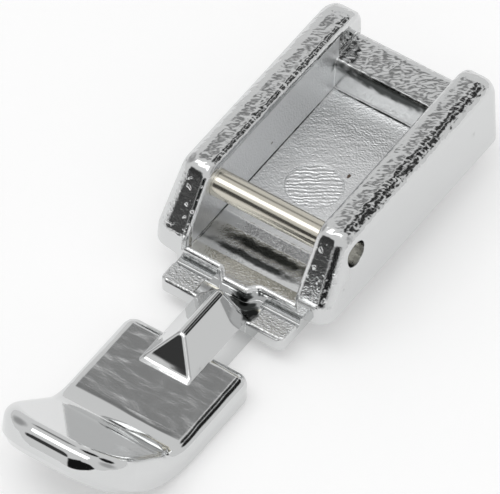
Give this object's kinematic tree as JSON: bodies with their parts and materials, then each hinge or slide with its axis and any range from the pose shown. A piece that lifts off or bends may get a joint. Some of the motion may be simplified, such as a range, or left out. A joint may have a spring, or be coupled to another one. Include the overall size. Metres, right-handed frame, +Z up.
{
  "type": "zipper foot",
  "caption": "Clip-on sewing-machine zipper foot: a chrome-plated casting with a walled tray across which a pin runs, a narrow ridged neck and a flat toe with an upturned tip.",
  "frame": {"origin": "on the sole, straight below the middle of the cross pin", "axes": "+X along the cross pin, +Y from the toe towards the heel, +Z up, away from the fabric"},
  "size_m": [0.0146, 0.0452, 0.0093],
  "materials": {
    "foot_casting": "bright chrome plate over a zinc die casting, pitted on the wall tops and grainy on the floor",
    "cross_pin": "satin drawn steel"
  },
  "bodies": {
    "root": {"foot_casting": "foot_casting", "cross_pin": "cross_pin"}
  },
  "joints": []
}
